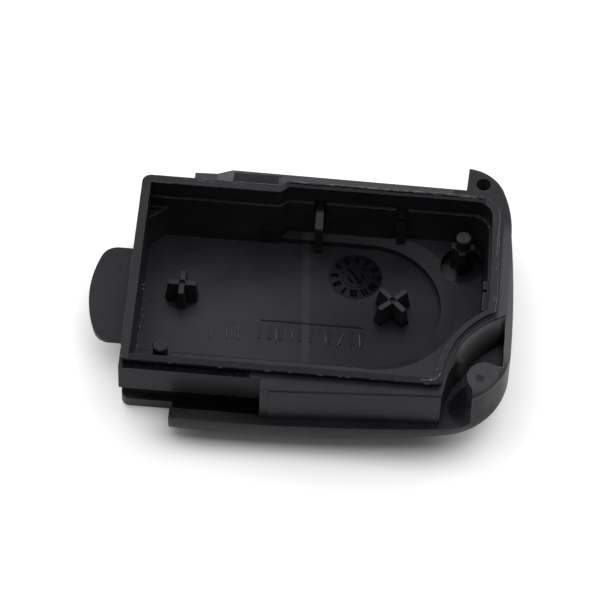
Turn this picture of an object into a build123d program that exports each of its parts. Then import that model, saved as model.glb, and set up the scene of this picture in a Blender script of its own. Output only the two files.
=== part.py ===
"""Rear cover of a flip key: the deep tub of its remote section.

One injection moulding in glass-filled nylon, lying on its outer face with the
open side up. X runs along the key, from the latch tongue at minus X to the
keyring corner at plus X. Y runs across it and Z is up. The origin lies on the
flat of the outer face, under the middle of the tub. All lengths in mm.
"""
import os
from math import cos, pi, sin

from build123d import *

# Heights above the outer face
rim_z = 13.0                 # top of the raised lip that enters the front cover
lip_height = 0.8             # lip above the seat of the front cover
seat_z = rim_z - lip_height
skirt_z = 5.8                # top of the low outer skirt and floor of the keyring recess
plate_lift = 0.55            # the bare end plate is set up by the head's own skin
floor_z = 2.15               # floor of the round cell bay
bay_wall = 1.0               # upright part of the bay's edge
bay_band_rise = 1.15         # gentle band from the upright up to the shelf
bay_band_side = 0.95         # its width towards the back and the front
bay_band_end = 2.5           # its width towards the keyring end
shelf_z = floor_z + bay_wall + bay_band_rise
step_z = 10.1                # inner walls thicken below this height

# Plan of the tub
body_length = 50.2           # end wall to the outer skin's right side
skin_right = 25.05
tub_left = skin_right - body_length
tub_half = 15.1              # back face of the narrow end, from the middle
wall = 1.2
front_in_y = -13.95          # inner face of the front wall
left_in_x = tub_left + 1.17  # inner face of the end wall
lip_wall = 1.0
shoulder_x = -6.65           # where the body takes its full width
front_wall_y = -15.7         # outer face of the front wall at the narrow end
inner_step = 0.25
wall_draft = 0.3             # the walls lean in by this much on the way down to the shelf
end_draft = 0.35             # and the right wall by this much more
shoulder_run = 1.2           # the shoulder's slant inside the tub
right_in_x = 21.95           # inner face of the right wall
inner_corner_r = 2.4

# Plan of the outer skin
skin_left = -18.4
skin_back = 17.2
skin_back_rise = 0.4         # the back face stands out by this much more at its left end
skin_front_left = -18.65
skin_front_corner_r = 8.7
skin_back_corner_r = 6.5
skin_edge_r = 5.3            # rounding of the outer face into its sides
crown_start_x = 4.0          # the outer face curves up from here to the keyring end
crown_r = 110.0
back_wall = 2.32             # back wall at the wide end, lip included
back_wide_y = skin_back - back_wall
block_face_left = -17.7
block_face_right = -16.3
block_right_x = 16.65
block_strip = 1.2            # shallow strip at the left end of the block

# Blade channel under the front wall
channel_top = 7.6
channel_back_y = -12.45
channel_wall = 1.0           # between the channel and the tub
skirt_wall = 1.6

# Keyring corner
ring_c = (29.6, -14.0)
ring_r = 12.6                # edge of the recess in the seat
ring_step = 0.25             # small step down from the seat
ring_round = 1.15            # rounding below the step, in plan
ring_round_height = 2.6
ring_seat = 0.55             # seat left between the recess and the lip
ring_lip = 0.7               # the lip is thinner along the recess
ring_lip_foot = 0.35         # slant at the lip's foot
ring_side_wall = 0.7
ramp_start_y = -13.0         # the recess floor rises from here to the back
ramp_rise = 0.18             # mm of rise per mm
post_c = (22.1, -12.75)
post_r = 2.35
post_cove_r = 2.8
post_mark_c = (21.45, -13.0)
post_mark_r = 0.68
post_mark_depth = 0.45

# Horn with the blind locating hole
horn_hole_c = (20.05, 18.4)
horn_hole_r = 1.0
horn_hole_depth = 5.0
horn_bottom = 6.4            # the underside slopes inward below this height
horn_slope_rise = 3.0
horn_root = (19.6, 12.0)     # point the underside shrinks towards
horn_foot = 0.68

# Cell bay
bay_c = (5.7, 3.6)
bay_r = 10.0                 # clears a 20 mm coin cell

# Board supports
cross_top = 5.25
cross_arm = 0.68
cross_draft = 6.0            # the cross posts widen towards the foot
plus_c = (-18.8, 3.5)
plus_span = 3.72
ex_c = (9.25, 3.4)
ex_span = 4.65
pin_r = 1.0
pin_top = 9.45
pin_seat = 7.4
pin_span = 2.9
far_pin_c = (18.0, 11.5)
pit_pin_c = (18.05, 10.6)
near_pin_c = (-20.3, -9.8)
pit_plus_r = 2.1
pit_pin_r = 2.85
pit_pin_floor = 2.8
pit_plus_depth = 0.6
ribs = (                     # x, thickness, front face, height there, height at the wall
    (-1.35, 1.0, 12.2, 7.7, 10.1),
    (9.6, 1.2, 13.65, 9.5, 10.1),
)
web_top = 8.25
web_leg = 2.55
web_rim = 0.5                # rim left along the web's slanted side
web_back_rim = 0.3           # and along the back wall
web_sink = 0.7

# Pad on the right wall
pad_thick = 1.0
pad_front_y = -0.7
pad_back_y = 4.1
pad_notch_y = 2.55
pad_notch_deep = 0.7
pad_notch_wide = 0.45

# Back rail beside the narrow tub
rail_end_x = -13.4
rail_slope_x = -15.4
rail_low_z = 11.15
notch_foot_z = 10.2
support_draft = 0.5
dimple_r = 0.45
dimple_depth = 0.45

# Tongue
tongue_top = 6.0
tongue_thick = 0.7
tongue_out = 5.65            # middle of its tip beyond the end wall
tongue_back_short = 1.7      # its back corner short of that
tongue_front_short = 2.0
tongue_front_y = -7.25
tongue_back_y = 7.85
tongue_root_r = 0.6

# Soft edges
side_edge_r = 0.4
block_edge_r = 0.3
pin_edge = 0.15

far = 30.0                   # clear of the part on every side

# Small moulded marks
dial_c = (4.0, 8.9)
dial_r = 3.6
dial_core_r = 1.75
dial_line = 0.14
mark_height = 0.12
bar_xs = (-8.0, -6.6, -5.2, -2.6, -1.2, 1.4, 2.8, 4.2, 5.6)


def cavity_outline(inset, end_inset=0.0):
    """Inner outline of the tub with its walls moved in by inset, the right wall by end_inset more."""
    front_y = front_in_y + inset
    back_narrow = tub_half - wall - inset
    back_wide = back_wide_y - inset
    right = right_in_x - inset - end_inset
    arc_r = ring_r + ring_seat + ring_lip + inset
    shoulder = shoulder_x - 0.1
    arc_front_x = ring_c[0] - (arc_r ** 2 - (front_y - ring_c[1]) ** 2) ** 0.5
    arc_top_y = ring_c[1] + (arc_r ** 2 - (right - 0.1 - ring_c[0]) ** 2) ** 0.5
    middle_angle = pi * 0.8
    middle = (ring_c[0] + arc_r * cos(middle_angle), ring_c[1] + arc_r * sin(middle_angle))
    corner_start = (right - inner_corner_r, back_wide)
    corner_end = (right - 0.35, back_wide - inner_corner_r)
    with BuildSketch() as outline:
        with BuildLine():
            Polyline(
                (arc_front_x, front_y),
                (left_in_x, front_y),
                (left_in_x, back_narrow),
                (shoulder, back_narrow),
                (shoulder + shoulder_run, back_wide),
                corner_start,
            )
            RadiusArc(corner_start, corner_end, inner_corner_r)
            Polyline(corner_end, (right, 0.5), (right - 0.1, arc_top_y))
            ThreePointArc((right - 0.1, arc_top_y), middle, (arc_front_x, front_y))
        make_face()
    return outline.sketch


def skin_outline():
    """Outline of the outer skin before its left end is cut square."""
    start = skin_left - 6
    front_left = (skin_left, skin_front_left)
    front_right = (skin_right - 0.05, -16.0)
    back_right = (skin_right - 1.65, skin_back)
    with BuildSketch() as outline:
        with BuildLine():
            Polyline(back_right, (start, skin_back + skin_back_rise), (start, skin_front_left), front_left)
            ThreePointArc(front_left, (3.9, -18.2), front_right)
            ThreePointArc(front_right, (skin_right - 0.05, 1.5), back_right)
        make_face()
        right = outline.vertices().group_by(Axis.X)[-2:]
        fillet([v for group in right for v in group if v.Y < 0], skin_front_corner_r)
        right = outline.vertices().sort_by(Axis.X).filter_by(lambda v: v.Y > 10 and v.X > 20)
        fillet(right, skin_back_corner_r)
    return outline.sketch


def bay_outline(side, end):
    """Plan of the cell bay, widened by side to the back and front and by end to the right."""
    half = bay_r + side
    front, back = bay_c[1] - half, bay_c[1] + half
    with BuildSketch() as outline:
        with BuildLine():
            Polyline((bay_c[0], back), (left_in_x, back), (left_in_x, front), (bay_c[0], front))
            ThreePointArc((bay_c[0], front), (bay_c[0] + bay_r + end, bay_c[1]), (bay_c[0], back))
        make_face()
    return outline.sketch


def post_outline():
    """Plan of the corner post, its ear and the side wall, which the recess leaves standing."""
    side_in = skin_right - ring_side_wall
    with BuildSketch() as kept:
        with Locations(post_c):
            Circle(post_r)
        with BuildLine():
            Polyline(
                (side_in - 0.25, 10),
                (side_in - 0.05, -10.95),
                (22.6, -10.6),
                (post_c[0] - post_r + 0.1, -13.4),
                (20.62, -14.8),
                (20.8, -far),
                (far, -far),
                (far, 10),
                close=True,
            )
        make_face()
    return kept.sketch


def front_step():
    """Plan of what is cleared in front of the tub above the skirt."""
    with BuildSketch() as clear:
        with BuildLine():
            Polyline(
                (skin_left - 1, front_wall_y),
                (shoulder_x, front_wall_y),
                (shoulder_x, block_face_left),
                (block_right_x, block_face_right),
                (block_right_x + 0.3, -14.5),
                (17.35, -12.3),
                (18.1, -10.5),
                (19.5, -8.9),
                (21.0, -12.2),
                (21.0, -far),
                (skin_left - 1, -far),
                close=True,
            )
        make_face()
    return clear.sketch


def cross_sketch(span, arm):
    """Plus-shaped section of a board support."""
    with BuildSketch() as section:
        Rectangle(span, arm)
        Rectangle(arm, span)
    return section.sketch


with BuildPart() as corner_cutter:
    # Round bite of the keyring recess: straight foot, rounding and a small step at the seat
    with BuildSketch(Plane((ring_c[0], ring_c[1], 0), x_dir=(1, 0, 0), z_dir=(0, -1, 0))):
        with BuildLine():
            step_foot = seat_z - ring_step
            foot_r = ring_r - ring_round
            Polyline((ring_r, step_foot), (ring_r, rim_z + 5), (0, rim_z + 5), (0, skirt_z), (foot_r, skirt_z))
            Line((foot_r, skirt_z), (foot_r, step_foot - ring_round_height))
            round_centre = (ring_r, step_foot - ring_round_height)
            EllipticalCenterArc(round_centre, ring_round, ring_round_height, start_angle=90, arc_size=90)
        make_face()
    revolve(axis=Axis((ring_c[0], ring_c[1], 0), (0, 0, 1)))
    # The front stepped back above the skirt
    add(extrude(front_step().moved(Location((0, 0, skirt_z))), 10))
    # Floor that rises towards the back
    with BuildSketch(Plane.YZ):
        with BuildLine():
            Polyline(
                (ramp_start_y, skirt_z),
                (ramp_start_y + far, skirt_z + far * ramp_rise),
                (ramp_start_y + far, skirt_z - 1),
                (ramp_start_y, skirt_z - 1),
                close=True,
            )
        make_face()
    extrude(amount=2 * far, mode=Mode.SUBTRACT)
    add(extrude(post_outline(), rim_z + 5), mode=Mode.SUBTRACT)
    # Cove turned round the foot of the post
    with BuildSketch(Plane((post_c[0], post_c[1], 0), x_dir=(1, 0, 0), z_dir=(0, -1, 0))):
        with BuildLine():
            cove_x = post_r + post_cove_r - 0.05
            cove_z = skirt_z + post_cove_r - 0.05
            cove_middle = (cove_x - post_cove_r * cos(pi / 4), cove_z - post_cove_r * sin(pi / 4))
            Polyline((0, cove_z), (0, skirt_z - 1), (cove_x, skirt_z - 1), (cove_x, cove_z - post_cove_r))
            ThreePointArc((cove_x, cove_z - post_cove_r), cove_middle, (cove_x - post_cove_r, cove_z))
            Line((cove_x - post_cove_r, cove_z), (0, cove_z))
        make_face()
    revolve(axis=Axis((post_c[0], post_c[1], 0), (0, 0, 1)), mode=Mode.SUBTRACT)

with BuildPart() as tub_room:
    # Room inside the tub: drafted walls down to the shelf
    with BuildSketch(Plane.XY.offset(shelf_z)):
        add(cavity_outline(inner_step + wall_draft, end_draft))
    with BuildSketch(Plane.XY.offset(step_z + 0.3)):
        add(cavity_outline(inner_step))
    loft(ruled=True)
    # The blade channel's roof stays whole
    with BuildSketch(Plane.XY.offset(shelf_z - 1)):
        with Locations(((tub_left + shoulder_x) / 2, channel_back_y + channel_wall - far / 2)):
            Rectangle(shoulder_x - tub_left + 2, far)
    extrude(amount=channel_top + wall - shelf_z + 1, mode=Mode.SUBTRACT)

with BuildPart() as cell_bay:
    # Round cell bay sunk in the floor, running left as a flat strip
    with BuildSketch(Plane.XY.offset(floor_z)):
        add(bay_outline(0, 0))
    extrude(amount=bay_wall)
    with BuildSketch(Plane.XY.offset(floor_z + bay_wall)):
        add(bay_outline(0, 0))
    with BuildSketch(Plane.XY.offset(shelf_z + 0.01)):
        add(bay_outline(bay_band_side, bay_band_end))
    loft(ruled=True)
    # Kept inside the tub's walls
    with BuildSketch(Plane.XY.offset(floor_z - 1)):
        add(cavity_outline(inner_step + wall_draft, end_draft))
    extrude(amount=shelf_z - floor_z + 2, mode=Mode.INTERSECT)

with BuildPart() as rear_cover:
    # Outer skin, its outer face crowned towards the keyring end, with a rounded edge
    add(extrude(skin_outline(), seat_z))
    crown_end_x = skin_right + 5
    with BuildSketch(Plane.XZ):
        with BuildLine():
            crown_rise = crown_r - (crown_r ** 2 - (crown_end_x - crown_start_x) ** 2) ** 0.5
            TangentArc((crown_start_x, 0), (crown_end_x, crown_rise), tangent=(1, 0))
            Polyline((crown_end_x, crown_rise), (crown_end_x, -1), (crown_start_x, -1), (crown_start_x, 0))
        make_face()
    extrude(amount=far, both=True, mode=Mode.SUBTRACT)
    low_edges = rear_cover.edges().filter_by(lambda e: e.bounding_box().max.Z < 4)
    low_edges = low_edges.filter_by(lambda e: e.center().X > skin_left - 5.5)
    fillet(low_edges.filter_by(lambda e: abs(e.center().Y) > 5 or e.center().X > 20), skin_edge_r)
    with BuildSketch(Plane.XY.offset(-1)):
        with Locations((skin_left - 10, 0)):
            Rectangle(20, 2 * far)
    extrude(amount=rim_z + 2, mode=Mode.SUBTRACT)

    # Narrow tub that runs out of the skin
    with BuildSketch(Plane.XY.offset(plate_lift)):
        with BuildLine():
            Polyline(
                (shoulder_x, tub_half),
                (tub_left, tub_half),
                (tub_left, channel_back_y - 1.2),
                (shoulder_x, channel_back_y - 1.2),
                close=True,
            )
        make_face()
        corners = vertices().group_by(Axis.X)[0]
        fillet(corners, 1.2)
    extrude(amount=rim_z - plate_lift)
    with BuildSketch(Plane.XY.offset(channel_top)):
        with Locations(((tub_left + shoulder_x) / 2, (front_wall_y + channel_back_y) / 2)):
            Rectangle(shoulder_x - tub_left, channel_back_y - front_wall_y)
    extrude(amount=seat_z - channel_top)

    # Keyring recess round its post, and the front stepped back above the skirt
    add(corner_cutter.part, mode=Mode.SUBTRACT)
    block_edge = rear_cover.edges().filter_by(
        lambda e: abs(e.center().Z - seat_z) < 0.01 and e.center().Y < block_face_right and e.length > 15
    )
    fillet(block_edge, block_edge_r)
    with BuildSketch(Plane.XY.offset(skirt_z)):
        with Locations((shoulder_x + 0.35, block_face_left - 0.85)):
            Rectangle(block_strip * 2 - 0.7, 2, rotation=3)
    extrude(amount=rim_z, mode=Mode.SUBTRACT)

    # Blade channel, open to the front and to the head
    with BuildSketch(Plane.XY.offset(floor_z)):
        with BuildLine():
            Polyline(
                (tub_left - 3, channel_back_y),
                (shoulder_x, channel_back_y),
                (shoulder_x, skin_front_left + skirt_wall),
                (tub_left - 3, skin_front_left + skirt_wall),
                close=True,
            )
        make_face()
    extrude(amount=channel_top - floor_z, mode=Mode.SUBTRACT)

    # Horn at the back corner, its underside sloping back into the skin
    with BuildSketch(Plane.XY.offset(horn_bottom)) as horn:
        with BuildLine():
            Line((17.8, 15.5), (18.05, 21.1))
            ThreePointArc((18.05, 21.1), (21.05, 20.0), (22.95, 17.5))
            ThreePointArc((22.95, 17.5), (23.85, 14.6), (24.25, 10.2))
            Polyline((24.25, 10.2), (20, 10.2), (17.8, 15.5))
        make_face()
    extrude(amount=seat_z - horn_bottom)
    with BuildSketch(Plane.XY.offset(horn_bottom - horn_slope_rise)):
        with Locations(horn_root):
            add(scale(horn.sketch_local.moved(Location((-horn_root[0], -horn_root[1], 0))), by=horn_foot))
    with BuildSketch(Plane.XY.offset(horn_bottom)):
        add(horn.sketch_local)
    loft()

    # Back rail beside the narrow tub, dropped at its free end
    with BuildSketch(Plane.XZ.offset(-tub_half)):
        with BuildLine():
            Polyline(
                (skin_left - 1, rail_low_z - 0.25),
                (rail_slope_x, rail_low_z),
                (rail_end_x, seat_z),
                (rail_end_x, 20),
                (skin_left - 1, 20),
                close=True,
            )
        make_face()
    extrude(amount=-10, mode=Mode.SUBTRACT)

    # Notch in the back rail that falls towards the tub
    with BuildSketch(Plane.YZ.offset(rail_end_x + 0.2)):
        with BuildLine():
            Polyline(
                (skin_back - 0.05, seat_z),
                (tub_half, notch_foot_z),
                (tub_half, seat_z + 1),
                (skin_back - 0.05, seat_z + 1),
                close=True,
            )
        make_face()
    extrude(amount=shoulder_x - rail_end_x - 0.35, mode=Mode.SUBTRACT)

    # Raised lip round the mouth
    with BuildSketch(Plane.XY.offset(seat_z - 0.5)):
        offset(cavity_outline(0), amount=lip_wall)
    extrude(amount=lip_height + 0.5)
    with Locations((*ring_c, seat_z)):
        lip_edge_r = ring_r + ring_seat
        stand = (Align.CENTER, Align.CENTER, Align.MIN)
        Cone(lip_edge_r - ring_lip_foot, lip_edge_r, ring_lip_foot, align=stand, mode=Mode.SUBTRACT)
        with Locations((0, 0, ring_lip_foot)):
            Cylinder(lip_edge_r, lip_height, align=stand, mode=Mode.SUBTRACT)

    # Inside of the tub
    add(extrude(cavity_outline(0).moved(Location((0, 0, step_z))), rim_z), mode=Mode.SUBTRACT)
    add(tub_room.part, mode=Mode.SUBTRACT)
    add(cell_bay.part, mode=Mode.SUBTRACT)

    # Clearance pits round the near cross and the far pin
    with BuildSketch(Plane.XY.offset(floor_z - pit_plus_depth)):
        with Locations(plus_c):
            Circle(pit_plus_r)
    extrude(amount=pit_plus_depth + 0.5, mode=Mode.SUBTRACT)
    with BuildSketch(Plane.XY.offset(pit_pin_floor)):
        with Locations(pit_pin_c):
            Circle(pit_pin_r)
    extrude(amount=shelf_z - pit_pin_floor + 0.5, mode=Mode.SUBTRACT)

    # Cross posts that carry the board
    with BuildSketch(Plane.XY.offset(cross_top)):
        with Locations(plus_c):
            add(cross_sketch(plus_span, cross_arm))
    extrude(amount=-(cross_top - floor_z + pit_plus_depth + 0.2), taper=-cross_draft)
    with BuildSketch(Plane.XY.offset(cross_top)):
        with Locations(Location(ex_c, 45)):
            add(cross_sketch(ex_span, cross_arm))
    extrude(amount=-(cross_top - floor_z + 0.2), taper=-cross_draft)

    # Locating pins standing on cross-shaped stems
    for centre, foot in ((far_pin_c, pit_pin_floor), (near_pin_c, shelf_z)):
        with BuildSketch(Plane.XY.offset(pin_seat)):
            with Locations(centre):
                add(cross_sketch(pin_span, 0.8))
                Circle(1.1)
        extrude(amount=-(pin_seat - foot + 0.2), taper=-support_draft)
        with BuildSketch(Plane.XY.offset(pin_seat - 0.2)):
            with Locations(centre):
                Circle(pin_r)
        extrude(amount=pin_top - pin_seat + 0.2)

    # Ribs on the back wall with sloping tops
    for x, thick, reach, front_top, wall_top in ribs:
        with BuildSketch(Plane.YZ.offset(x - thick / 2)):
            with BuildLine():
                Polyline(
                    (reach, floor_z - 0.2),
                    (reach, front_top),
                    (back_wide_y - inner_step, wall_top),
                    (back_wide_y + 0.3, wall_top),
                    (back_wide_y + 0.3, floor_z - 0.2),
                    close=True,
                )
            make_face()
        extrude(amount=thick)

    # Web across the back left corner
    inner_back = tub_half - wall - inner_step
    with BuildSketch(Plane.XY.offset(floor_z - 0.2)):
        with BuildLine():
            Polyline(
                (left_in_x - 0.2, inner_back + 0.2),
                (left_in_x + web_leg, inner_back + 0.2),
                (left_in_x + web_leg, inner_back),
                (left_in_x, inner_back - web_leg * 0.88),
                (left_in_x - 0.2, inner_back - web_leg * 0.88),
                close=True,
            )
        make_face()
    extrude(amount=web_top - floor_z + 0.2)
    with BuildSketch(Plane.XY.offset(web_top - web_sink)):
        with BuildLine():
            Polyline(
                (left_in_x, inner_back - web_back_rim),
                (left_in_x + web_leg - web_rim - web_back_rim, inner_back - web_back_rim),
                (left_in_x, inner_back - (web_leg - web_rim) * 0.88),
                close=True,
            )
        make_face()
    extrude(amount=web_sink + 0.5, mode=Mode.SUBTRACT)

    # Pad on the right wall with a narrow notch
    pad_right = right_in_x + 0.1
    with BuildSketch(Plane.XY.offset(shelf_z - 0.2)):
        with Locations((pad_right - pad_thick / 2, (pad_front_y + pad_back_y) / 2)):
            Rectangle(pad_thick, pad_back_y - pad_front_y)
        with Locations((pad_right - pad_thick, pad_notch_y)):
            Rectangle(2 * pad_notch_deep, pad_notch_wide, mode=Mode.SUBTRACT)
    extrude(amount=step_z - shelf_z + 0.2)

    # Latch tongue
    with BuildSketch(Plane.XY.offset(tongue_top - tongue_thick)) as tongue:
        with BuildLine():
            tongue_root = tub_left + 0.3
            tongue_tip_x = tub_left - tongue_out
            back_tip = (tongue_tip_x + tongue_back_short, tongue_back_y)
            front_tip = (tongue_tip_x + tongue_front_short, tongue_front_y)
            Polyline(back_tip, (tongue_root, tongue_back_y), (tongue_root, tongue_front_y), front_tip)
            ThreePointArc(front_tip, (tongue_tip_x, 0.8), back_tip)
        make_face()
        tips = tongue.vertices().filter_by(lambda v: v.X < tub_left - 1)
        fillet(tips, 2.3)
    extrude(amount=tongue_thick)

    # Blind locating hole in the horn and screw start in the corner post
    with BuildSketch(Plane.XY.offset(seat_z)):
        with Locations(horn_hole_c):
            Circle(horn_hole_r)
    extrude(amount=-horn_hole_depth, mode=Mode.SUBTRACT)
    hang = (Align.CENTER, Align.CENTER, Align.MAX)
    with Locations((*post_mark_c, seat_z)):
        Cone(0.1, post_mark_r, post_mark_depth, align=hang, mode=Mode.SUBTRACT)

    # Small dimples left by the core pins of the cross posts
    for x, y in (plus_c, ex_c):
        with Locations((x, y, cross_top)):
            Cylinder(dimple_r, dimple_depth, align=hang, mode=Mode.SUBTRACT)

    # Soft edges of the outer side, the pins and the tongue root
    at_seat = rear_cover.edges().filter_by(
        lambda e: abs(e.bounding_box().min.Z - seat_z) < 0.01 and abs(e.bounding_box().max.Z - seat_z) < 0.01
    )
    side = at_seat.filter_by(GeomType.CIRCLE).filter_by(lambda e: e.length > 3.5)
    side = side.filter_by(lambda e: e.center().X > 22.5 or e.center().Y > 19)
    fillet(side, side_edge_r)
    pin_rims = rear_cover.edges().filter_by(GeomType.CIRCLE)
    pin_rims = pin_rims.filter_by(lambda e: abs(e.center().Z - pin_top) < 0.01)
    chamfer(pin_rims, pin_edge)
    root = rear_cover.edges().filter_by(lambda e: abs(e.center().X - tub_left) < 0.02 and e.length > 5)
    fillet(root.filter_by(lambda e: abs(e.center().Z - tongue_top) < 0.02), tongue_root_r)

    # Rings of the date dial and plain bars raised on the floor
    with BuildSketch(Plane.XY.offset(floor_z - 0.05)):
        with Locations(dial_c):
            Circle(dial_r)
            Circle(dial_r - dial_line, mode=Mode.SUBTRACT)
            Circle(dial_core_r)
            Circle(dial_core_r - dial_line, mode=Mode.SUBTRACT)
    extrude(amount=mark_height + 0.05)
    with BuildSketch(Plane.XY.offset(floor_z - 0.05)):
        with Locations(*[(x, -1.35) for x in bar_xs]):
            Rectangle(0.3, 2.1)
        with Locations(((bar_xs[0] + bar_xs[-1]) / 2, 0.6)):
            Rectangle(bar_xs[-1] - bar_xs[0], 0.16)
    extrude(amount=mark_height + 0.05)

rear_cover.part.label = "rear_cover"
os.makedirs("parts", exist_ok=True)
export_step(rear_cover.part, "parts/rear_cover.step")
print("rear cover", round(rear_cover.part.volume), "cubic mm")
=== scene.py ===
"""Rear cover of a flip key on a white table, seen from its open side."""

import math
import random

import bmesh
import bpy
from mathutils import Matrix, Vector


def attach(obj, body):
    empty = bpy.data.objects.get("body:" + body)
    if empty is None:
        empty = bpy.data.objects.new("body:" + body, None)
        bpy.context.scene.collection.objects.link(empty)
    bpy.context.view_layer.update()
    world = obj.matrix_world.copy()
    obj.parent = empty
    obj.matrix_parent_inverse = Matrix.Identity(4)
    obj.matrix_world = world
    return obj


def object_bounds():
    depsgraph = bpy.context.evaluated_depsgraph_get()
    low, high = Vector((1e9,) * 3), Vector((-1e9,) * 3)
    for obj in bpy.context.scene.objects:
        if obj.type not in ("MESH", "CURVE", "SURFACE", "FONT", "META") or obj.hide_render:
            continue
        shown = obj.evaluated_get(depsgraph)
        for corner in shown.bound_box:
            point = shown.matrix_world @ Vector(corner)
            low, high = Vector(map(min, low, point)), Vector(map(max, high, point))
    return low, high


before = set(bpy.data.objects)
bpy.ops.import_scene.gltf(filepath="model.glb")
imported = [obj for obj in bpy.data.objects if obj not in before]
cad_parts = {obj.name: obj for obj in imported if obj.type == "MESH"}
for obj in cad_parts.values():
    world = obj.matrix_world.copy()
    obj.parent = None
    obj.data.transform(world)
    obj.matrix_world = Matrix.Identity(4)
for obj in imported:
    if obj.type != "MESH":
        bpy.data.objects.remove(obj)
cad_box = [[float(x) for x in corner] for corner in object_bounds()]
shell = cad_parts["rear_cover"]

MM = 0.001
WHITE = (1.0, 1.0, 1.0, 1.0)
PLASTIC_IOR = 1.5

# Places on the part, in millimetres: tub floor, top of the lip, its front edge, left wall and date stamp
FLOOR_Z = 2.15
LIP_Z = cad_box[1][2] / MM
LIP_TOP = (LIP_Z - 0.1, LIP_Z + 0.1)
LIP_FRONT_Y = -14.95
LEFT_WALL_X = -23.82
DIAL = Vector((4.0, 8.9, 0.0))
MONTH_RADIUS = 2.72

# Colours of the plastic: its two plain tones, darker tones for painted shade and the dial's matte disc, and
# pale tones for rubbed edges with painted highlights and for painted light
PLAIN_DARK = (0.0142, 0.0140, 0.0166)
PLAIN_LIGHT = (0.0198, 0.0195, 0.0222)
SHELF_SHADE_TONE = (0.0070, 0.0069, 0.0086)
DULL_SHADE_TONE = (0.0035, 0.0034, 0.0046)
DARK_TONE = (0.0030, 0.0030, 0.0045)
WORN_AND_HIGHLIGHT_TONE = (0.34, 0.34, 0.345)
PALE_TONE = (0.30, 0.30, 0.31)

# Boxes where the edges are rubbed most and carry the most painted highlight: x, y and z in millimetres
RUBBED_AND_HIGHLIT = (
    ((22.4, 23.4), (-3.5, 14.5), (12.0, 13.2)),     # right lip
    ((-24.0, 21.0), (14.6, 16.4), (12.5, 13.2)),    # back lip
    ((23.9, 24.8), (-11.0, -2.5), (11.0, 13.0)),    # side wall beside the recess
    ((18.6, 22.3), (12.0, 15.2), (9.9, 10.4)),      # corner of the inner step
    ((14.5, 17.0), (-14.2, -12.5), (12.5, 13.2)),   # front right corner of the lip
    ((-24.9, -21.5), (14.0, 15.4), (12.5, 13.2)),   # back left corner of the lip
)

# Boxes with painted light, paler than the rest: x, y and z, how far each fades out, and its share of the
# pale tone
PAINTED_LIGHT_BOXES = (
    ((15.6, 17.1), (8.9, 11.4), (2.6, 3.0), 0.4, 0.11),                     # lit part of the pit
    ((-7.1, -6.85), (15.3, 17.6), (10.0, 12.0), 0.1, 0.30),                 # end of the rail's notch
    ((-15.2, -13.2), (15.3, 17.8), (11.0, 12.6), 0.3, 0.14),                # slope of the notch
    ((-25.0, 16.0), (16.2, 19.5), (11.9, 12.4), (0.3, 0.3, 3.0), 0.10),     # back rail
    ((23.3, 26.0), (-8.0, 10.0), (11.8, 12.5), (0.3, 3.0, 4.0), 0.10),      # right side
    ((24.6, 26.0), (-9.0, 4.0), (10.5, 12.2), (0.4, 3.0, 4.0), 0.10),       # rounded edge of the right side
    ((23.3, 26.0), (-11.0, -5.0), (11.5, 12.5), (0.5, 2.0, 4.0), 0.02),     # right side by the recess
    ((18.5, 23.6), (-14.5, -9.5), (9.5, 12.4), (0.5, 1.0, 3.0), 0.06),      # keyring post
    ((-2.0, -0.7), (12.1, 13.7), (7.5, 9.3), 0.3, 0.10),                    # front of the left rib
    ((-26.0, -18.4), (-19.0, -14.0), (0.0, 3.0), (0.3, 1.0, 2.0), 0.16),    # lower plate on the left
    ((19.0, 21.2), (18.6, 19.6), (8.0, 11.7), 0.25, 0.14),                  # wall of the horn's hole
)


# Camera: nearly square on, high above the table, with a long lens
def make_camera():
    elevation, turn, roll = math.radians(54.3), math.radians(3.2), math.radians(2.0)
    picture_px, focal_px, sensor_mm = 600.0, 4300.0, 36.0
    distance = 0.562
    aim = Vector((-3.6, 0.0, LIP_Z)) * MM
    aim_px = (295.0, 278.3)
    flat = math.cos(elevation)
    back = Vector((math.sin(turn) * flat, -math.cos(turn) * flat, math.sin(elevation)))
    level = Vector((math.cos(turn), math.sin(turn), 0.0))
    upright = back.cross(level)
    right = level * math.cos(roll) + upright * math.sin(roll)
    up = upright * math.cos(roll) - level * math.sin(roll)
    shift_x = (aim_px[0] - picture_px / 2) / focal_px * distance
    shift_y = -(aim_px[1] - picture_px / 2) / focal_px * distance
    place = aim - right * shift_x - up * shift_y + back * distance
    data = bpy.data.cameras.new("camera")
    data.sensor_width = sensor_mm
    data.lens = focal_px / picture_px * sensor_mm
    data.clip_start = 0.01
    camera = bpy.data.objects.new("camera", data)
    camera.matrix_world = Matrix.Translation(place) @ Matrix((right, up, back)).transposed().to_4x4()
    bpy.context.collection.objects.link(camera)
    bpy.context.scene.camera = camera


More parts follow.
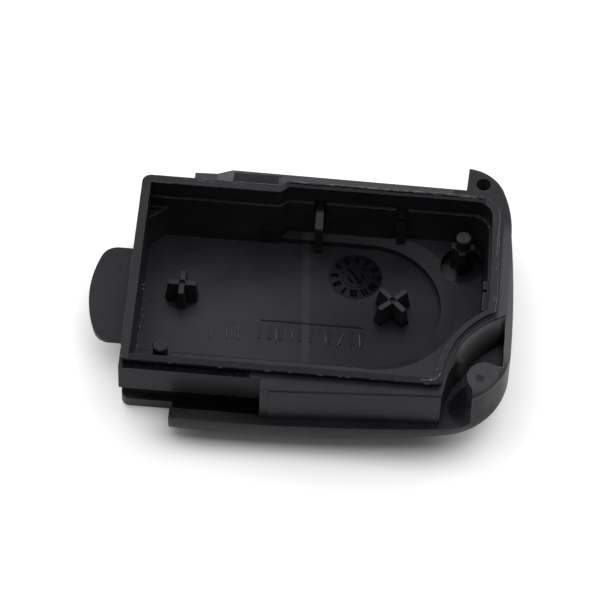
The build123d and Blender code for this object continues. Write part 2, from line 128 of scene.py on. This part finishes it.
class Graph:
    """Nodes of a material or of the world, with short calls for masks and colours."""

    def __init__(self, tree, coordinates="Object"):
        self.nodes, self.links = tree.nodes, tree.links
        self.nodes.clear()
        self.place = self.nodes.new("ShaderNodeTexCoord").outputs[coordinates]
        self.x, self.y, self.z = self.separate(self.place)

    def separate(self, vector):
        node = self.nodes.new("ShaderNodeSeparateXYZ")
        self.links.new(vector, node.inputs[0])
        return node.outputs

    def normal(self):
        """Direction that the face points in."""
        return self.nodes.new("ShaderNodeNewGeometry").outputs["Normal"]

    def ray(self, kind):
        """1 for one kind of ray and 0 for the others."""
        return self.nodes.new("ShaderNodeLightPath").outputs[kind]

    def ramp(self, value, start, end, low=0.0, high=1.0):
        """Smooth change from low to high while value goes from start to end."""
        node = self.nodes.new("ShaderNodeMapRange")
        node.interpolation_type = "SMOOTHSTEP"
        node.inputs["From Min"].default_value = start
        node.inputs["From Max"].default_value = end
        node.inputs["To Min"].default_value = low
        node.inputs["To Max"].default_value = high
        self.links.new(value, node.inputs["Value"])
        return node.outputs[0]

    def span(self, length, start, end, low=0.0, high=1.0):
        """The same for a length in metres, with start and end in millimetres."""
        return self.ramp(length, start * MM, end * MM, low, high)

    def combine(self, operation, *values):
        """Result of an operation on sockets or numbers, taken one after the other."""
        result = values[0]
        for value in values[1:]:
            node = self.nodes.new("ShaderNodeMath")
            node.operation = operation
            for socket, given in zip(node.inputs, (result, value)):
                if isinstance(given, (int, float)):
                    socket.default_value = given
                else:
                    self.links.new(given, socket)
            result = node.outputs[0]
        return result

    def plus(self, *values):
        return self.combine("ADD", *values)

    def minus(self, *values):
        return self.combine("SUBTRACT", *values)

    def times(self, *values):
        return self.combine("MULTIPLY", *values)

    def most(self, *values):
        return self.combine("MAXIMUM", *values)

    def absolute(self, value):
        return self.combine("ABSOLUTE", value, 0.0)

    def noise(self, scale, detail):
        node = self.nodes.new("ShaderNodeTexNoise")
        node.inputs["Scale"].default_value = scale
        node.inputs["Detail"].default_value = detail
        self.links.new(self.place, node.inputs["Vector"])
        return node.outputs[0]

    def patch(self, x, y, z, fade=0.3):
        """1 inside a box given in millimetres, fading out around it, by one length or one for each axis."""
        fades = fade if isinstance(fade, tuple) else (fade, fade, fade)
        sides = []
        for axis, (low, high), reach in zip((self.x, self.y, self.z), (x, y, z), fades):
            sides.append(self.span(axis, low - reach, low))
            sides.append(self.span(axis, high + reach, high))
        return self.times(*sides)

    def tint(self, colour, mask, rgb):
        """Turns a colour, a socket or red, green and blue, towards rgb where the mask is 1."""
        mix = self.nodes.new("ShaderNodeMix")
        mix.data_type = "RGBA"
        mix.inputs["B"].default_value = (*rgb, 1.0)
        if isinstance(colour, tuple):
            mix.inputs["A"].default_value = (*colour, 1.0)
        else:
            self.links.new(colour, mix.inputs["A"])
        self.links.new(mask, mix.inputs["Factor"])
        return mix.outputs["Result"]

    def bump(self, height, strength, distance, normal=None):
        """Normal of a rough surface, with the distance in millimetres."""
        node = self.nodes.new("ShaderNodeBump")
        node.inputs["Strength"].default_value = strength
        node.inputs["Distance"].default_value = distance * MM
        self.links.new(height, node.inputs["Height"])
        if normal is not None:
            self.links.new(normal, node.inputs["Normal"])
        return node.outputs[0]

    def set_surface(self, shader, output="ShaderNodeOutputMaterial"):
        self.links.new(shader.outputs[0], self.nodes.new(output).inputs["Surface"])


def new_material(name):
    material = bpy.data.materials.new(name)
    material.use_nodes = True
    return material, Graph(material.node_tree)


# Table and studio
def clear_of_shadow(graph):
    """Extra white of the table, lowered in a strip in front of the part as a painted shadow."""
    shade = graph.times(
        graph.span(graph.y, -21.8, -16.6), graph.span(graph.x, -26.0, -12.0),
        graph.span(graph.x, 27.0, 11.0), graph.span(graph.y, 0.0, -8.0),
    )
    return graph.ramp(shade, 0.0, 1.0, 0.28, 0.0)


def make_table():
    mesh = bpy.data.meshes.new("table")
    half = 2.5
    corners = [(-half, -half, 0.0), (half, -half, 0.0), (half, half, 0.0), (-half, half, 0.0)]
    mesh.from_pydata(corners, [], [(0, 1, 2, 3)])
    table = bpy.data.objects.new("table", mesh)
    bpy.context.collection.objects.link(table)
    material, graph = new_material("table")
    matte = graph.nodes.new("ShaderNodeBsdfDiffuse")
    matte.inputs["Color"].default_value = (0.90, 0.885, 0.888, 1.0)
    glow = graph.nodes.new("ShaderNodeEmission")
    glow.inputs["Color"].default_value = WHITE
    # Camera rays see the glow, with a painted shadow in front of the part
    straight = graph.times(graph.ray("Is Camera Ray"), clear_of_shadow(graph))
    mirrored = graph.times(graph.ray("Is Glossy Ray"), 0.06)
    through = graph.times(graph.ray("Is Transmission Ray"), 0.30)
    graph.links.new(graph.plus(straight, mirrored, through), glow.inputs["Strength"])
    both = graph.nodes.new("ShaderNodeAddShader")
    graph.links.new(matte.outputs[0], both.inputs[0])
    graph.links.new(glow.outputs[0], both.inputs[1])
    graph.set_surface(both)
    mesh.materials.append(material)


def make_world():
    """White room, dimmer as a light than as it is seen and mirrored."""
    world = bpy.data.worlds.new("studio")
    bpy.context.scene.world = world
    world.use_nodes = True
    graph = Graph(world.node_tree, "Generated")
    dim = graph.nodes.new("ShaderNodeBackground")
    dim.inputs["Color"].default_value = WHITE
    dim.inputs["Strength"].default_value = 0.22
    white = graph.nodes.new("ShaderNodeBackground")
    white.inputs["Color"].default_value = WHITE
    # The room is dark above the table and on its front side
    front = graph.times(graph.ramp(graph.y, 0.42, 0.0), graph.ramp(graph.z, 0.05, 0.25), 0.60)
    overhead = graph.times(graph.ramp(graph.z, 0.86, 0.98), 0.25)
    room = graph.minus(1.0, graph.most(front, overhead))
    direct, mirrored = graph.ray("Is Camera Ray"), graph.ray("Is Glossy Ray")
    shown = graph.most(direct, mirrored, graph.ray("Is Transmission Ray"))
    graph.links.new(graph.most(direct, room), white.inputs["Strength"])
    mix = graph.nodes.new("ShaderNodeMixShader")
    graph.links.new(shown, mix.inputs[0])
    graph.links.new(dim.outputs[0], mix.inputs[1])
    graph.links.new(white.outputs[0], mix.inputs[2])
    graph.set_surface(mix, "ShaderNodeOutputWorld")


def make_softbox(elevation, distance, width, height, watts):
    """Soft box over the table, at an elevation in degrees towards the back, facing the part."""
    lean = math.radians(elevation)
    way = Vector((0.0, math.cos(lean), math.sin(lean)))
    data = bpy.data.lights.new("softbox_top", "AREA")
    data.shape = "RECTANGLE"
    data.size, data.size_y = width, height
    data.energy = watts
    light = bpy.data.objects.new("softbox_top", data)
    light.location = way * distance
    light.rotation_euler = way.to_track_quat("Z", "Y").to_euler()
    light.visible_glossy = False
    bpy.context.collection.objects.link(light)


# Moulded plastic: near black, fine spark-eroded grain, edges rubbed pale in spots with painted highlights
def worn_edges(graph):
    """1 on the outward edges, in spots, where they are rubbed pale and carry a painted highlight, and 0 on
    the faces, and the normal with its edges rounded.
    """
    rounded = graph.nodes.new("ShaderNodeBevel")
    rounded.samples = 6
    rounded.inputs["Radius"].default_value = 0.15 * MM
    turn = graph.nodes.new("ShaderNodeVectorMath")
    turn.operation = "DOT_PRODUCT"
    graph.links.new(rounded.outputs[0], turn.inputs[0])
    graph.links.new(graph.normal(), turn.inputs[1])
    edge = graph.ramp(turn.outputs["Value"], 0.985, 0.90)
    hollow = graph.nodes.new("ShaderNodeAmbientOcclusion")
    hollow.samples = 6
    hollow.only_local = True
    hollow.inputs["Distance"].default_value = 0.6 * MM
    outward = graph.ramp(hollow.outputs["AO"], 0.70, 0.92)
    spots = graph.ramp(graph.noise(1500.0, 3.0), 0.42, 0.60, 0.2, 1.0)
    runs = graph.ramp(graph.noise(210.0, 1.0), 0.40, 0.60, 0.25, 1.0)
    rubbed_and_highlit = graph.plus(*[graph.patch(*box) for box in RUBBED_AND_HIGHLIT])
    level = graph.times(graph.most(runs, rubbed_and_highlit), graph.ramp(rubbed_and_highlit, 0.0, 1.0, 0.45, 1.0))
    high_up = graph.span(graph.z, 4.0, 7.5, 0.25, 1.0)
    return graph.times(edge, outward, spots, level, high_up), rounded.outputs[0]


def shelf_finish(graph):
    """Duller shelf at the keyring end, darkened by painted shade."""
    return graph.times(
        graph.span(graph.x, 14.0, 18.5), graph.span(graph.x, 22.2, 21.6),
        graph.span(graph.y, -7.8, -4.5), graph.span(graph.z, 6.2, 4.8),
    )


def dial_disc(graph):
    """Matte disc of the dial, darker towards the back right."""
    from_dial = graph.nodes.new("ShaderNodeVectorMath")
    from_dial.operation = "DISTANCE"
    from_dial.inputs[1].default_value = (DIAL.x * MM, DIAL.y * MM, FLOOR_Z * MM)
    graph.links.new(graph.place, from_dial.inputs[0])
    disc = graph.span(from_dial.outputs["Value"], 3.75, 3.40)
    return graph.times(disc, graph.span(graph.plus(graph.x, graph.y), 8.5, 15.0, 0.35, 0.95))


def rib_tops(graph):
    """Tops of the two ribs at the back wall, darkened by painted shade."""
    right_rib = graph.patch((8.9, 10.3), (13.3, 17.0), (9.0, 10.4), 0.1)
    left_rib = graph.patch((-2.0, -0.7), (14.2, 17.0), (8.7, 10.4), 0.5)
    return graph.plus(right_rib, left_rib)


def dull_finish(graph, front):
    """Painted shade, where the finish is also duller: floor towards the keyring end, front faces, front and
    back lip, and a little of the upper half.
    """
    floor = graph.times(
        graph.span(graph.x, -10.0, 6.0, 0.0, 0.75), graph.span(graph.z, 3.0, 2.6),
        graph.span(graph.y, 9.0, 1.0, 0.35, 1.0),
    )
    blade_block = graph.times(graph.patch((-8.0, 17.0), (-19.0, -13.0), (5.8, 10.5)), 0.25)
    lower_plate = graph.patch((-27.0, -18.0), (-20.0, -13.0), (0.0, 5.2))
    post_face = graph.times(graph.patch((18.0, 26.0), (-20.0, -12.0), (0.0, 12.0)), 0.7)
    spared = graph.most(blade_block, lower_plate, post_face)
    front_faces = graph.times(front, graph.minus(1.0, spared), 0.6)
    back_lip = graph.times(graph.patch((-6.0, 20.5), (13.5, 15.6), LIP_TOP, 0.1), 0.85)
    front_lip = graph.times(graph.patch((-24.0, 16.5), (-15.2, -12.8), LIP_TOP, 0.1), 0.75)
    upper_half = graph.span(graph.z, 5.6, 6.0, 0.0, 0.25)
    return graph.most(floor, front_faces, back_lip, front_lip, upper_half)


def pale_areas(graph, front):
    """Share of the pale tone: flow line and mottling, and painted light: a painted highlight on the root of
    the tongue, on the upper recess wall and on lit faces.
    """
    lean, line_x = 0.07, -2.0
    from_line = graph.absolute(graph.minus(graph.plus(graph.times(graph.y, lean), graph.x), line_x * MM))
    flow = graph.times(graph.span(from_line, 0.8, 0.2), graph.span(graph.z, 4.5, 3.5, 0.0, 0.025))
    streaks = graph.ramp(graph.noise(1100.0, 3.0), 0.40, 0.62, 0.2, 1.0)
    # Painted highlight on the rounded root of the tongue
    root = graph.patch((-25.5, -25.05), (-2.0, 7.0), (5.9, 6.2), (0.15, 2.0, 0.1))
    # Painted light on the recess wall, stronger higher up
    recess_painted_light = graph.times(
        graph.patch((19.0, 23.4), (-9.5, -4.0), (7.0, 11.6), 0.9), graph.span(graph.z, 6.5, 10.5, 0.15, 1.0)
    )
    lit = [graph.times(graph.patch(x, y, z, fade), share) for x, y, z, fade, share in PAINTED_LIGHT_BOXES]
    mottled = graph.times(
        graph.ramp(graph.noise(1300.0, 4.0), 0.44, 0.70, 0.0, 0.013),
        graph.span(graph.z, 5.0, 6.0, 0.3, 1.0), graph.minus(1.0, front),
    )
    return graph.plus(flow, graph.times(root, streaks, 0.5), graph.times(recess_painted_light, 0.20), *lit, mottled)


def plastic_roughness(graph, cloud, shelf, dark, facing_z):
    """Fine mottling, the outer corner's coarser texture, and polished upright faces at the lip."""
    fine = graph.ramp(graph.noise(3200.0, 2.0), 0.3, 0.7, -0.03, 0.06)
    outer_corner = graph.times(
        graph.span(graph.z, 12.2, 10.8), graph.span(graph.x, 19.5, 21.5),
        graph.span(graph.y, -10.0, -14.0, 0.0, 0.16),
    )
    rough = graph.plus(
        graph.ramp(cloud, 0.3, 0.7, 0.33, 0.38), fine, outer_corner,
        graph.times(shelf, 0.12), graph.times(dark, 0.40),
    )
    upright = graph.ramp(graph.absolute(facing_z), 0.5, 0.2)
    return graph.minus(rough, graph.times(upright, graph.span(graph.z, 12.05, 12.3, 0.0, 0.16)))


def make_plastic():
    material, graph = new_material("shell_plastic")
    surface = graph.nodes.new("ShaderNodeBsdfPrincipled")
    surface.inputs["IOR"].default_value = PLASTIC_IOR
    surface.inputs["Specular Tint"].default_value = (0.93, 0.92, 1.0, 1.0)
    _, facing_y, facing_z = graph.separate(graph.normal())
    cloud = graph.noise(180.0, 4.0)
    worn_and_highlit, soft_normal = worn_edges(graph)
    # Upright faces at the front
    front = graph.times(graph.ramp(facing_y, -0.45, -0.75), graph.span(graph.y, -12.5, -13.5))
    shelf, dial, ribs = shelf_finish(graph), dial_disc(graph), rib_tops(graph)
    dull_and_shade = dull_finish(graph, front)
    # Shade under the lip on the front wall and at the end of the bay's band
    under_lip = graph.patch((-24.6, -8.2), (-15.7, -14.0), (12.14, 12.4), 0.12)
    band_end = graph.times(graph.patch((-9.0, -4.0), (10.5, 15.0), (2.8, 4.6), 1.2), 0.7)
    dark = graph.most(dial, ribs, under_lip, band_end)

    colour = graph.tint(PLAIN_DARK, graph.ramp(cloud, 0.3, 0.7), PLAIN_LIGHT)
    # Edges rubbed pale, with painted highlights on them
    colour = graph.tint(colour, worn_and_highlit, WORN_AND_HIGHLIGHT_TONE)
    # Painted shade on the shelf at the keyring end
    colour = graph.tint(colour, shelf, SHELF_SHADE_TONE)
    # Painted shade, where the finish is also duller
    colour = graph.tint(colour, dull_and_shade, DULL_SHADE_TONE)
    # The dial disc's own darker tone, and painted shade on the rib tops, under the lip and at the end of the
    # bay's band
    colour = graph.tint(colour, dark, DARK_TONE)
    # Pale flow line and mottling, and painted light and highlights
    colour = graph.tint(colour, pale_areas(graph, front), PALE_TONE)
    graph.links.new(colour, surface.inputs["Base Color"])

    plain_gloss = 0.31
    matte = graph.most(ribs, under_lip, graph.times(dial, 0.6))
    gloss = graph.minus(plain_gloss, graph.times(dull_and_shade, 0.12), graph.times(matte, 0.22))
    graph.links.new(graph.most(gloss, 0.0), surface.inputs["Specular IOR Level"])
    graph.links.new(plastic_roughness(graph, cloud, shelf, dark, facing_z), surface.inputs["Roughness"])

    waves = graph.bump(graph.noise(1900.0, 2.0), 0.35, 0.02, soft_normal)
    grain = graph.bump(graph.noise(5200.0, 3.0), 0.3, 0.02, waves)
    graph.links.new(grain, surface.inputs["Normal"])
    graph.set_surface(surface)
    return material


def small_plastic(name, base, roughness, gloss=0.5):
    """The same plastic for small marks, darker or paler and rougher."""
    material, graph = new_material(name)
    surface = graph.nodes.new("ShaderNodeBsdfPrincipled")
    surface.inputs["IOR"].default_value = PLASTIC_IOR
    surface.inputs["Specular IOR Level"].default_value = gloss
    spots = graph.noise(2400.0, 3.0)
    darker = (base * 0.55, base * 0.55, base * 0.62)
    lighter = (base * 1.4, base * 1.4, base * 1.45)
    graph.links.new(graph.tint(darker, graph.ramp(spots, 0.35, 0.65), lighter), surface.inputs["Base Color"])
    rough = graph.ramp(spots, 0.3, 0.7, roughness - 0.05, roughness + 0.05)
    graph.links.new(rough, surface.inputs["Roughness"])
    graph.links.new(graph.bump(graph.noise(6000.0, 2.0), 0.4, 0.03), surface.inputs["Normal"])
    graph.set_surface(surface)
    return material


# Small pieces, built in millimetres
def finish_piece(name, bm, material):
    """Puts what was built into the scene, in metres, as a piece of the shell."""
    bmesh.ops.recalc_face_normals(bm, faces=bm.faces)
    mesh = bpy.data.meshes.new(name)
    bm.to_mesh(mesh)
    bm.free()
    mesh.transform(Matrix.Scale(MM, 4))
    mesh.materials.append(material)
    piece = bpy.data.objects.new(name, mesh)
    bpy.context.collection.objects.link(piece)
    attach(piece, "root")


def add_ridge(bm, start, end, width, height):
    """Raised stroke on the floor from start to end with sloping sides and ends."""
    bevel, shoulder, sunk = 0.35, 0.55, 0.03
    start, end = Vector(start).to_2d(), Vector(end).to_2d()
    along = (end - start).normalized()
    side = Vector((-along.y, along.x)) * width / 2
    rings = []
    for z, grow in ((FLOOR_Z - sunk, 0.0), (FLOOR_Z + height * shoulder, 0.0), (FLOOR_Z + height, 1.0)):
        inset, narrow = width * bevel * grow, 1 - bevel * 1.4 * grow
        corners = []
        for s, t in ((-1, -1), (1, -1), (1, 1), (-1, 1)):
            point = (start if t < 0 else end) - along * t * inset + side * s * narrow
            corners.append(bm.verts.new((point.x, point.y, z)))
        rings.append(corners)
    for low, high in zip(rings, rings[1:]):
        for i in range(4):
            j = (i + 1) % 4
            bm.faces.new((low[i], low[j], high[j], high[i]))
    bm.faces.new(rings[-1])


def add_month(bm, number):
    """One number of the dial with its top outward. Number 12 stands at the front, and they run clockwise."""
    text = bpy.data.curves.new("month", "FONT")
    text.body = str(number)
    text.align_x, text.align_y = "CENTER", "CENTER"
    text.size = 1.30
    text.extrude = 0.06
    text.offset = 0.095
    text.resolution_u = 2
    text.space_character = 0.82
    holder = bpy.data.objects.new("month", text)
    bpy.context.collection.objects.link(holder)
    bpy.context.view_layer.update()
    glyphs = bpy.data.meshes.new_from_object(holder)
    angle = math.radians(-90.0 - 30.0 * number)
    centre = DIAL + Vector((math.cos(angle), math.sin(angle), 0.0)) * MONTH_RADIUS
    turn = Matrix.Rotation(angle - math.pi / 2, 4, "Z")
    squeeze = Matrix.Diagonal((0.95, 1.0, 1.0, 1.0))
    glyphs.transform(Matrix.Translation((centre.x, centre.y, FLOOR_Z + 0.05)) @ turn @ squeeze)
    bm.from_mesh(glyphs)
    bpy.data.objects.remove(holder)
    bpy.data.meshes.remove(glyphs)
    bpy.data.curves.remove(text)


def make_dial_numbers(material):
    """Months 1 to 12 round the dial, the arrow, and four short strokes beside it."""
    bm = bmesh.new()
    height, shaft, stroke = 0.12, 0.30, 0.26
    for number in range(1, 13):
        add_month(bm, number)
    tail, tip = DIAL + Vector((-0.95, 1.15, 0.0)), DIAL + Vector((0.75, -1.0, 0.0))
    add_ridge(bm, tail, tip, shaft, height)
    add_ridge(bm, tip, tip + Vector((-0.05, 0.55, 0.0)), stroke, height)
    add_ridge(bm, tip, tip + Vector((-0.52, 0.0, 0.0)), stroke, height)
    for x, y, length in ((-1.0, -0.1, 0.55), (-0.62, -0.55, 0.5), (0.72, 0.62, 0.55), (0.9, 0.05, 0.45)):
        spot = DIAL + Vector((x, y, 0.0))
        add_ridge(bm, spot, spot + Vector((0.32, -length, 0.0)), stroke, height)
    finish_piece("dial_numbers", bm, material)


def make_floor_bars(material):
    """Plain bars that stand for the material mark moulded in the floor."""
    bm = bmesh.new()
    height, lean = 0.14, 0.2
    for x, top, low, width in (
        (-14.6, -0.6, -2.75, 0.20), (-12.45, -0.6, -2.8, 0.24), (-11.75, -0.8, -2.8, 0.10),
        (-11.4, -0.8, -2.8, 0.10), (-10.85, -0.6, -2.8, 0.22), (-5.85, -0.55, -2.75, 0.26),
        (-3.75, -0.9, -2.1, 0.20), (0.72, -0.9, -2.4, 0.22), (5.25, -0.5, -2.7, 0.22),
    ):
        add_ridge(bm, (x, top), (x + lean, low), width, height)
    add_ridge(bm, (3.15, -0.55), (2.45, -2.7), 0.22, height)
    finish_piece("floor_bars", bm, material)


def add_fleck(bm, centre, size, rng):
    """Small irregular grain."""
    ring = []
    count, squash, sunk = 6, 0.8, 0.02
    for i in range(count):
        angle = 2 * math.pi * i / count
        reach = size * rng.uniform(0.55, 1.0)
        foot = Vector((math.cos(angle) * reach, math.sin(angle) * reach * squash, -sunk))
        ring.append(bm.verts.new(centre + foot))
    top = bm.verts.new(centre + Vector((0, 0, size * rng.uniform(0.4, 0.7))))
    for i in range(count):
        bm.faces.new((ring[i], ring[(i + 1) % count], top))


def make_flecks(material):
    """Dust and crumbs of flash in the tub, on the lip, on the tongue's root and in the recess."""
    rng = random.Random(11)
    bm = bmesh.new()
    # x, y and size of those that lie on whatever is below them
    spots = [
        (-23.75, 2.4, 0.13), (-23.72, -0.2, 0.15), (-23.7, -2.7, 0.10), (-23.68, -4.9, 0.12),
        (-23.7, -6.3, 0.10), (-23.7, -5.4, 0.08), (-23.72, -1.2, 0.08), (14.6, -12.9, 0.16),
        (15.7, -13.9, 0.22), (15.2, -13.6, 0.14), (24.6, -5.3, 0.16), (24.55, -3.2, 0.10),
        (23.9, -9.9, 0.12), (18.9, -12.6, 0.09), (19.4, -9.9, 0.08), (-25.6, 7.3, 0.15),
        (-25.5, 6.6, 0.12), (-25.8, 6.1, 0.13), (-25.5, 4.9, 0.09), (-25.6, 2.0, 0.08),
    ]
    for _ in range(26):
        spots.append((rng.uniform(-22, 19), rng.uniform(-11, 11), rng.uniform(0.04, 0.075)))
    for _ in range(16):
        x = rng.uniform(-24.6, -8)
        y = rng.choice((-14.5, 14.5)) + rng.uniform(-0.3, 0.3)
        spots.append((x, y, rng.uniform(0.04, 0.08)))
    # y, z and size of those on the left wall
    for y, z, size in (
        (2.6, 5.35, 0.17), (2.2, 4.9, 0.15), (-0.2, 3.6, 0.15), (-2.6, 3.7, 0.16), (-2.8, 3.3, 0.17),
        (-5.0, 4.6, 0.17), (-5.2, 4.1, 0.13), (-6.4, 3.9, 0.16), (-6.5, 3.4, 0.12), (0.9, 4.6, 0.09),
    ):
        add_fleck(bm, Vector((LEFT_WALL_X, y, z)), size, rng)
    above = 50.0 * MM
    for x, y, size in spots:
        hit, where, _, _ = shell.ray_cast(Vector((x * MM, y * MM, above)), Vector((0.0, 0.0, -1.0)))
        if hit:
            add_fleck(bm, where / MM, size, rng)
    finish_piece("flecks", bm, material)


def make_nicks(material):
    """Ragged crumbs of flash along the outer edge of the front lip."""
    rng = random.Random(5)
    bm = bmesh.new()
    steps = 5
    crumb_z = LIP_Z - 0.03
    for x, size in (
        (-18.5, 0.16), (-12.0, 0.20), (-9.4, 0.10), (-5.9, 0.22), (-3.0, 0.16), (0.9, 0.20), (3.5, 0.16),
        (4.5, 0.22), (7.6, 0.16), (10.8, 0.12), (14.7, 0.22),
    ):
        upper, lower = [], []
        for i in range(steps + 1):
            along = x + (i / steps - 0.5) * size * 4
            out = size * math.sin(math.pi * i / steps) * rng.uniform(0.6, 1.0)
            upper.append(bm.verts.new((along, LIP_FRONT_Y - out, crumb_z)))
            lower.append(bm.verts.new((along, LIP_FRONT_Y + 0.02, crumb_z - size * 0.9)))
        back = [bm.verts.new((v.co.x, LIP_FRONT_Y + 0.05, LIP_Z + 0.01)) for v in upper]
        for i in range(steps):
            bm.faces.new((upper[i], upper[i + 1], back[i + 1], back[i]))
            bm.faces.new((lower[i], lower[i + 1], upper[i + 1], upper[i]))
    finish_piece("lip_nicks", bm, material)


def add_ribbon(bm, points, rng, wide, crest, wobble, share):
    """Ragged strip along a line on top of the lip, of which only a share is there."""
    step_length, sunk = 0.14, 0.01
    steps = []
    for start, end in zip(points, points[1:]):
        start, end = Vector((*start, 0.0)), Vector((*end, 0.0))
        count = max(1, round((end - start).length / step_length))
        steps += [(start.lerp(end, i / count), (end - start).normalized()) for i in range(count)]
    foot = Vector((0.0, 0.0, LIP_Z - sunk))
    # It wanders and changes its width by degrees, and breaks off and starts again every few steps
    drift, span, present, steps_left = 0.0, wide, True, 0
    row = None
    for centre, along in steps:
        if steps_left == 0:
            present, steps_left = rng.random() < share, rng.randint(3, 12)
        steps_left -= 1
        drift = 0.75 * drift + rng.uniform(-wobble, wobble) * 0.5
        span = 0.6 * span + 0.4 * wide * rng.uniform(0.3, 1.5)
        side = Vector((-along.y, along.x, 0.0))
        middle = centre + side * drift
        line = [
            bm.verts.new(middle - side * span / 2 + foot),
            bm.verts.new(middle + Vector((0, 0, LIP_Z + crest * rng.uniform(0.6, 1.0)))),
            bm.verts.new(middle + side * span / 2 + foot),
        ]
        if row and present:
            bm.faces.new((row[0], line[0], line[1], row[1]))
            bm.faces.new((row[1], line[1], line[2], row[2]))
        row = line
    bmesh.ops.delete(bm, geom=[v for v in bm.verts if not v.link_faces], context="VERTS")


def make_burrs(light, dark):
    """Rolled-over flash along the edges of the lip, pale as a painted highlight, and a black strip beside it
    at the back as its painted shadow.
    """
    rng = random.Random(3)
    back = ((-4.3, 15.80), (1.05, 15.80), (6.4, 15.72), (13.1, 15.70), (17.0, 15.66), (19.5, 15.62))
    right = (
        (22.55, 13.0), (22.62, 11.2), (22.45, 8.85), (22.42, 6.4), (22.50, 3.1), (22.60, 0.4), (22.55, -1.9),
    )
    narrow = ((-24.2, 14.75), (-21.8, 14.8), (-17.0, 14.75), (-12.5, 14.7), (-8.6, 14.45))
    corner = ((13.9, -14.45), (15.6, -14.3), (16.2, -13.6), (16.4, -12.9))
    shadow_line = ((-5.5, 15.50), (1.05, 15.52), (6.4, 15.44), (13.1, 15.40), (17.0, 15.38), (20.2, 15.40))
    bm = bmesh.new()
    add_ribbon(bm, back, rng, wide=0.17, crest=0.05, wobble=0.10, share=0.65)
    add_ribbon(bm, right, rng, wide=0.13, crest=0.05, wobble=0.10, share=0.75)
    add_ribbon(bm, narrow, rng, wide=0.12, crest=0.04, wobble=0.12, share=0.35)
    add_ribbon(bm, corner, rng, wide=0.24, crest=0.08, wobble=0.10, share=0.95)
    finish_piece("lip_burr", bm, light)
    bm = bmesh.new()
    add_ribbon(bm, shadow_line, rng, wide=0.26, crest=0.05, wobble=0.10, share=0.88)
    finish_piece("burr_painted_shadow", bm, dark)


make_camera()
make_table()
make_world()
make_softbox(elevation=76.0, distance=0.8, width=1.3, height=1.0, watts=9.0)
plastic = make_plastic()
for slot in shell.material_slots:
    slot.material = plastic
# Dial numbers far darker than the plastic, as painted shade
make_dial_numbers(small_plastic("dial_plastic_painted_shade", base=0.0015, roughness=0.85, gloss=0.06))
make_floor_bars(small_plastic("bar_plastic", base=0.035, roughness=0.30))
make_flecks(small_plastic("fleck_plastic", base=0.22, roughness=0.55))
make_nicks(small_plastic("nick_plastic", base=0.010, roughness=0.40))
# Burrs pale as a painted highlight, and a black strip beside them as painted shadow
make_burrs(
    small_plastic("burr_highlight_plastic", base=0.085, roughness=0.45),
    small_plastic("burr_shadow_plastic", base=0.0015, roughness=0.90, gloss=0.05),
)

bpy.context.scene.view_settings.view_transform = "Standard"
